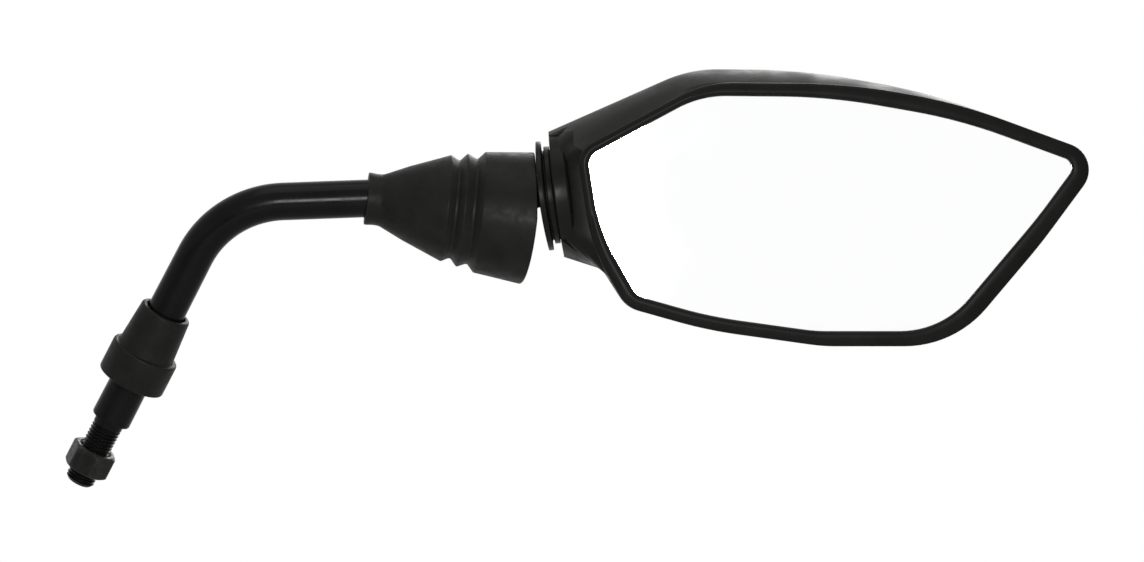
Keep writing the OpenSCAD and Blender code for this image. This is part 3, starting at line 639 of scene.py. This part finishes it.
def shell_skin(inset):
    """Rings of the shell's skin, drawn in by an inset, from the back to the parting line."""
    edge = widen(shell_edge, -inset)
    rim = widen(bezel_edge, -min(inset, RIM_WALL))
    along, radius, rear = inset - SHELL_NECK_AT, SHELL_NECK_R - inset, HEAD_REAR - inset
    skin = 0 if inset else SKIN_STEP
    low = (under[0] + inset / 2, under[1] + inset, UNDER_R)
    rim_end, rim_before = np.array(rim[-1][:2]), np.array(rim[-2][:2])
    low_rim = (*(rim_end + RIM_SHARE * (rim_before - rim_end)), UNDER_R)
    rim_blocks = head_blocks(rim, along, radius, low_rim, 0)
    front = ball[1] - PARTING_Y
    rings, counts = [], None

    def add_ring(blocks, height, neck_y, head_y, dips=(0, 0)):
        nonlocal counts
        whole = [at_depth(block, head_y) for block in blocks]
        ends = []
        for sign, far, dip in ((1, whole[0][0], dips[0]), (-1, whole[-1][-1], dips[1])):
            start = neck_point(along, sign * height, neck_y)
            near = start + COLLAR_REACH * unit(far - start)
            inward = neck_point(along, 0, ball[1]) - start
            ends.append([start + dip * unit(inward), near])
        whole = [np.array(ends[0])] + whole + [np.array(ends[1][::-1])]
        counts = counts or side_counts(whole)
        rings.append(run_together(whole, counts))

    widest = head_blocks(edge, along, radius, low, 0)
    add_ring(widest, radius, ball[1], ball[1])
    rings.clear()
    for angle in np.radians(np.concatenate([[87.5, 86, 84], np.arange(81, -1, -3)])):
        scale = math.sqrt(math.cos(angle))
        blocks = head_blocks(edge, along, radius, low, BACK_SOFTEN * (1 - math.cos(angle)))
        blocks = [heart + scale * (block - heart) for block in blocks]
        reach = radius + skin
        add_ring(
            blocks, reach * math.cos(angle), ball[1] + reach * math.sin(angle),
            ball[1] + rear * math.sin(angle),
        )
    seams = [seam + step for seam in SEAM_TURNS for step in (0, 0.4)]
    for degrees in sorted([5, 10, 15, *range(25, 66, 5), *seams]):
        angle, share = math.radians(degrees), degrees / RIM_TURN
        blocks = [a * (1 - share**2) + b * share**2 for a, b in zip(widest, rim_blocks)]
        reach = radius + skin
        hollow_y = ball[1] - reach * math.sin(min(angle, WALL_TURN))
        dips = [
            0 if inset or degrees <= seam else sink for seam, sink in zip(SEAM_TURNS, COLLAR_SINKS)
        ]
        add_ring(blocks, reach * math.cos(angle), hollow_y, ball[1] - front * share, dips)
    first, last = np.array(rim[0][:2]) + RIM_ENDS[0], rim_end + RIM_ENDS[1]
    ends = [
        at_depth([end, end + 0.2 * (far - end)], PARTING_Y)
        for end, far in ((first, rim_blocks[0][0]), (last, rim_blocks[-1][-1]))
    ]
    whole = [ends[0]] + [at_depth(b, PARTING_Y) for b in rim_blocks] + [ends[1][::-1]]
    rings.append(run_together(whole, counts))
    return rings


def combined(piece, others, operation):
    """Joins other solids to a piece, or cuts them out of it, and removes them."""
    for other in others:
        change = piece.modifiers.new("solid", "BOOLEAN")
        change.operation = operation
        change.solver = "MANIFOLD"
        change.object = other
        bpy.context.view_layer.update()
        result = bpy.data.meshes.new_from_object(
            piece.evaluated_get(bpy.context.evaluated_depsgraph_get())
        )
        piece.modifiers.clear()
        piece.data = result
        bpy.data.objects.remove(other)
    return piece


# A direction that no rod here has, to start the turns of its rings from
SKEW = (0.3, 0.2, 0.9)


def rod_piece(name, centre, direction, radius, start, end, material, sides=48):
    """A plain round solid, used to add or cut a post or a hole."""
    side = unit(np.cross(direction, SKEW))
    ends = [
        ring(np.asarray(centre) + t * np.asarray(direction), direction, side, np.full(sides, r))
        for t, r in ((start, np.atleast_1d(radius)[0]), (end, np.atleast_1d(radius)[-1]))
    ]
    return mesh_piece(name, *lofted(ends), material)


shell_plastic = coating(
    "grained_plastic", (0.0135, 0.0136, 0.0123), (0.017, 0.017, 0.0155), 30, (0.42, 0.55),
    [("TexNoise", 0.55, 0.02), ("TexVoronoi", 0.45, 0.012)], specular=0.09,
)
outer_rings = shell_skin(0)
inner_rings = shell_skin(SHELL_WALL)
# Each cutter reaches past what it cuts by this much, or by twice as much
PAST = 1.0
inner_rings.append(inner_rings[-1] - np.array([0, 2 * PAST, 0]))
shell = mesh_piece("grained_rear_shell", *lofted(outer_rings), shell_plastic)
hollow = mesh_piece("hollow", *lofted(inner_rings), shell_plastic)
combined(shell, [hollow], "DIFFERENCE")

SOCKET_R, CUP_BORE_R, TUBE_R, TUBE_END = 11.1, 12.65, 14.85, 8.0
THROAT_R, THROAT_AT, FLARE_R = 8.6, 7.2, 12.6
DISC_R, RING_R, RING_T, GROOVE_R = 18.3, 16.3, 1.9, 15.0
POST_R, POST_AT, PLATE_AT = 4.0, 16.25, 16.29
SCREW_HOLE_R, SCREW_HOLE_LEN = 2.1, 11.0
RING_GAP, BOSS_ROUND, TUBE_GAP, OVERLAP = 0.4, 0.6, 0.1, 0.01
mouth_at = DISC_AT + DISC_T / 2
boss_end = BOSS_LEN - BOSS_AT
ring_end = -BOSS_AT - RING_GAP
neck_profile = np.concatenate(soft_corners([
    (-mouth_at, THROAT_R - 1, 0), (-mouth_at, DISC_R, 0.4), (DISC_T - mouth_at, DISC_R, 0.3),
    (DISC_T - mouth_at, GROOVE_R, 0.3), (ring_end - RING_T, GROOVE_R, 0.3),
    (ring_end - RING_T, RING_R, 0.35), (ring_end, RING_R, 0.35), (ring_end, GROOVE_R, 0.15),
    (-BOSS_AT, GROOVE_R, 0.15), (-BOSS_AT, BOSS_R, 0.5),
    (boss_end - BOSS_ROUND, BOSS_R, BOSS_ROUND), (boss_end, BOSS_R - 0.9, 0.5),
    (boss_end, TUBE_R, 0), (TUBE_END, TUBE_R, 0.4), (TUBE_END, THROAT_R - 1, 0),
]))
# The collar's own darker plastic, also laid on the wall beside the collar as painted shade
neck_plastic_and_painted_shade = coating(
    "smooth_plastic", (0.005, 0.0051, 0.0047), (0.0075, 0.0076, 0.007), 12, (0.27, 0.36),
    [("TexNoise", 0.9, 0.008), ("TexNoise", 0.25, 0.003)], specular=0.06,
)
neck_rings = turned(neck_profile, ball, neck_dir, neck_side)
# The near side of the disc, ring and collar bows a little towards the boot
BOW, BOW_FROM = 0.067, 7.0
for i, points in enumerate(neck_rings):
    share = np.clip(((ball - points) @ neck_dir - BOW_FROM) / (mouth_at - BOW_FROM), 0, 1)
    near = np.maximum(ball[1] - points[:, 1], 0)
    neck_rings[i] = points - (BOW * share * near**2 / DISC_R)[:, None] * neck_dir
neck = mesh_piece("neck_collar", *lofted(neck_rings, joined=True), neck_plastic_and_painted_shade)
joint_posts = []
for s in (1, -1):
    place, start = ball + s * POST_AT * neck_side, boss_end - 2 * PAST
    joint_posts.append(rod_piece("post", place, neck_dir, POST_R, start, PLATE_AT, shell_plastic))
POST_SHARES = [(-0.24, 0.14), (-0.2, -0.2), (0.24, 0.12), (0.14, -0.24)]
CARRIER_BACK = 1000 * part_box("glass_carrier")[1].y
CARRIER_POST_R, CARRIER_HOLE_R, CARRIER_HOLE_LEN = 3.5, 1.6, 9.0
FORWARD = (0, 1, 0)
carrier_posts, carrier_holes = [], []
for x, z in POST_SHARES:
    place = np.array([heart[0] + x * GLASS_W, 0, heart[1] + z * GLASS_H])
    for pieces, radius, start, end in (
        (carrier_posts, CARRIER_POST_R, CARRIER_BACK, ball[1] + HEAD_REAR - SHELL_WALL / 2),
        (carrier_holes, CARRIER_HOLE_R, CARRIER_BACK - PAST, CARRIER_BACK + CARRIER_HOLE_LEN),
    ):
        pieces.append(rod_piece("post", place, FORWARD, radius, start, end, shell_plastic))
combined(neck, joint_posts, "UNION")
combined(shell, carrier_posts, "UNION")

SOCKET_SIDES, SOCKET_POLE = 96, 0.03
socket_rings = []
for angle in np.linspace(SOCKET_POLE, math.pi - SOCKET_POLE, SOCKET_SIDES // 2):
    place = ball - SOCKET_R * math.cos(angle) * neck_dir
    radii = np.full(SOCKET_SIDES, SOCKET_R * math.sin(angle))
    socket_rings.append(ring(place, neck_dir, neck_side, radii))


def joint_cuts():
    """The socket, its bore, its flared mouth and the two screw holes."""
    cuts = [mesh_piece("socket", *lofted(socket_rings), neck_plastic_and_painted_shade)]
    for ends, start, end in (
        (CUP_BORE_R, 0, PLATE_AT - OVERLAP), (THROAT_R, -THROAT_AT, 0),
        ((FLARE_R, THROAT_R), -mouth_at - PAST, -THROAT_AT + OVERLAP),
    ):
        bore = rod_piece("bore", ball, neck_dir, ends, start, end, neck_plastic_and_painted_shade, SOCKET_SIDES)
        cuts.append(bore)
    for s in (-1, 1):
        place = ball + s * POST_AT * neck_side
        start, end = PLATE_AT - SCREW_HOLE_LEN, PLATE_AT + PAST
        cuts.append(rod_piece("bore", place, neck_dir, SCREW_HOLE_R, start, end, neck_plastic_and_painted_shade))
    return cuts


combined(neck, joint_cuts(), "DIFFERENCE")
seat = rod_piece(
    "seat", ball, neck_dir, BOSS_R, -BOSS_AT - PAST, boss_end - BOSS_ROUND, shell_plastic,
    TURNED_SIDES,
)
room = rod_piece(
    "room", ball, neck_dir, TUBE_R + TUBE_GAP, -BOSS_AT, TUBE_END + TUBE_GAP, shell_plastic,
    SOCKET_SIDES,
)
combined(shell, [seat, room, *joint_cuts(), *carrier_holes], "DIFFERENCE")

# The wall beside the collar is parted from the grained skin and darkened as painted shade
wall = bpy.data.objects.new("smooth_neck_wall", shell.data.copy())
scene.collection.objects.link(wall)
painted_shade_back = ball[1] - BOSS_R * math.sin(math.radians(SEAM_TURNS[0]))
painted_shade_rings = [
    at_depth(np.array(PAINTED_SHADE_OUTLINE) + ball[[0, 2]], depth) for depth in (FRONT_Y, painted_shade_back)
]
for piece, operation in ((wall, "INTERSECT"), (shell, "DIFFERENCE")):
    combined(piece, [mesh_piece("part_off", *lofted(painted_shade_rings), neck_plastic_and_painted_shade)], operation)
# painted shade: the wall takes the collar's darker plastic in place of the grained one
wall.data.materials.clear()
wall.data.materials.append(neck_plastic_and_painted_shade)
wall.data.polygons.foreach_set("material_index", [0] * len(wall.data.polygons))
settle(wall, 32)
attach(wall, "head")
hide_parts("rear_shell")
settle(neck, 32)
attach(neck, "head")
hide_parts("rear_shell")
settle(shell, 32)
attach(shell, "head")
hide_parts("rear_shell")


# Bezel
# A satin black moulding, closed round the glass and clipped to the shell's rim. Its outer
# edge is rounded, and so is the lip that holds the glass.
GLASS_BOW, GLASS_T, GLASS_LAP, LIP_T = 2000.0, 2.2, 1.6, 1.7
BEVEL, LIP_ROUND, LIP_DRAFT, LIP_EDGE, LIP_GAP, RIM_GAP = 1.1, 1.0, 0.12, 0.15, 0.1, 0.2
BOW_MARGIN, BOW_NEAR = 4, 0.42 * GLASS_H
glass_middle = np.array([GLASS_LEFT + GLASS_W / 2, GLASS_LOW + GLASS_H / 2])


def bow_rise(distance):
    """How far the glass falls back at a distance from its middle."""
    return GLASS_BOW - np.sqrt(GLASS_BOW**2 - np.square(distance))


bow_reach = math.hypot(GLASS_W / 2, GLASS_H / 4) + BOW_MARGIN
glass_y = FRONT_Y + LIP_T + bow_rise(bow_reach) - bow_rise(BOW_NEAR)


def glass_depth(outline, behind=0.0):
    """Depth of the glass's front at each point of an outline, or of what lies behind it."""
    distance = np.linalg.norm(np.asarray(outline) - glass_middle, axis=1)
    return glass_y + bow_rise(distance) - bow_rise(bow_reach) + behind


def outline_blocks(corners):
    """Arcs of a closed outline."""
    return [
        corner_arc(
            np.array(corners[i][:2]), np.array(corners[i - 1][:2]),
            np.array(corners[(i + 1) % CORNERS][:2]), corners[i][2], ARC_STEPS,
        )
        for i in range(CORNERS)
    ]


opening_counts = side_counts(outline_blocks(opening))


def outline_ring(widths):
    """A closed outline at widths outside the glass opening."""
    return run_together(outline_blocks(widen(opening, widths)), opening_counts)


face, LEVEL = np.array(BEZEL_FACE), np.zeros(CORNERS)
section = [
    (face - 0.3, PARTING_Y), (face, PARTING_Y - 0.35), (face, FRONT_Y + BEVEL + 0.4),
    (face - 0.1, FRONT_Y + BEVEL), (face - 0.45, FRONT_Y + 0.7), (face - BEVEL, FRONT_Y + 0.42),
    (face - BEVEL - 0.6, FRONT_Y + 0.28), (face / 2, FRONT_Y + 0.06),
    (LEVEL + 1.1, FRONT_Y + 0.02), (LEVEL + 0.7, FRONT_Y + 0.17), (LEVEL + 0.38, FRONT_Y + 0.36),
    (LEVEL + 0.12, FRONT_Y + 0.66), (LEVEL, FRONT_Y + LIP_ROUND),
]
bezel_rings = [at_depth(outline_ring(widths), depth) for widths, depth in section]
for width, gap in (
    (-LIP_DRAFT, LIP_GAP + LIP_EDGE), (0, LIP_GAP), (GLASS_LAP + RIM_GAP, LIP_GAP),
):
    outline = outline_ring(width)
    bezel_rings.append(at_depth(outline, glass_depth(outline, -gap)))
bezel_rings.append(at_depth(outline, PARTING_Y))
bezel_plastic = coating(
    "satin_plastic", (0.0055, 0.0056, 0.0052), (0.0085, 0.0086, 0.0079), 16, (0.26, 0.36),
    [("TexNoise", 1.1, 0.01), ("TexNoise", 0.25, 0.003)], specular=0.05,
)
bezel = mesh_piece("satin_bezel", *lofted(bezel_rings, joined=True), bezel_plastic, 60)
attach(bezel, "head")
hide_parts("bezel")


# Mirror glass
# A convex pane, ground to the opening's shape with a small chamfer at its edge and silvered
# behind. It sits under the bezel's lip and is stuck to a foam pad on its carrier.
# The pane's faces are drawn in by the chamfer, as a share of the pane's mean half width
PANE_RINGS, CHAMFER, PANE_HALF = 16, 0.35, 60
pane_edge = outline_ring(GLASS_LAP)
pane_spokes = (pane_edge - glass_middle) * (1 - CHAMFER / PANE_HALF)
pane_front = [glass_middle + pane_spokes * (1 - k / PANE_RINGS) for k in range(PANE_RINGS)]
pane_rings = [at_depth(s, glass_depth(s)) for s in reversed(pane_front)]
pane_rings.append(at_depth(pane_edge, glass_depth(pane_edge, CHAMFER)))
pane_rings.append(at_depth(pane_edge, glass_depth(pane_edge, GLASS_T - CHAMFER)))
pane_rings += [at_depth(s, glass_depth(s, GLASS_T)) for s in pane_front]
silver = coating(
    "silvered_glass", (0.972, 0.976, 0.976), (0.985, 0.988, 0.988), 60, (0.012, 0.03),
    [("TexNoise", 40, 0.0004)], metal=1.0, specular=0.5,
)
pane = mesh_piece("mirror_pane", *lofted(pane_rings), silver, 25)
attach(pane, "head")
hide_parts("mirror_glass")


# Ball joint, pad and carrier
# Two nylon seats hold the ball, and a steel cup, two disc springs and a plate with two
# screws press them together. Behind the glass are its foam pad, its carrier and screws.
def dress(node, material):
    """Gives a solid that stays as it is its finish."""
    held = frame["nodes"][node]
    held.data.materials.clear()
    held.data.materials.append(material)


nylon = coating(
    "bearing_nylon", (0.60, 0.57, 0.48), (0.68, 0.65, 0.56), 6, (0.4, 0.5),
    [("TexNoise", 0.8, 0.006)],
)
plated = coating(
    "zinc_plate", (0.42, 0.43, 0.44), (0.55, 0.56, 0.57), 4, (0.26, 0.42),
    [("TexNoise", 0.4, 0.004)], metal=1.0,
)
foam = coating(
    "black_foam", (0.02, 0.02, 0.021), (0.04, 0.04, 0.042), 3, (0.85, 0.95),
    [("TexVoronoi", 0.7, 0.12)], specular=0.2,
)
carrier_plastic = coating(
    "carrier_plastic", (0.02, 0.02, 0.02), (0.03, 0.03, 0.03), 12, (0.5, 0.6),
    [("TexNoise", 0.7, 0.01)], specular=0.4,
)
for node in ("ball_seat_front", "ball_seat_rear"):
    dress(node, nylon)
for node in (
    "pressure_cup", "disc_springs", "retainer_plate", "retainer_screws", "carrier_screws",
):
    dress(node, plated)
dress("foam_pad", foam)
dress("glass_carrier", carrier_plastic)
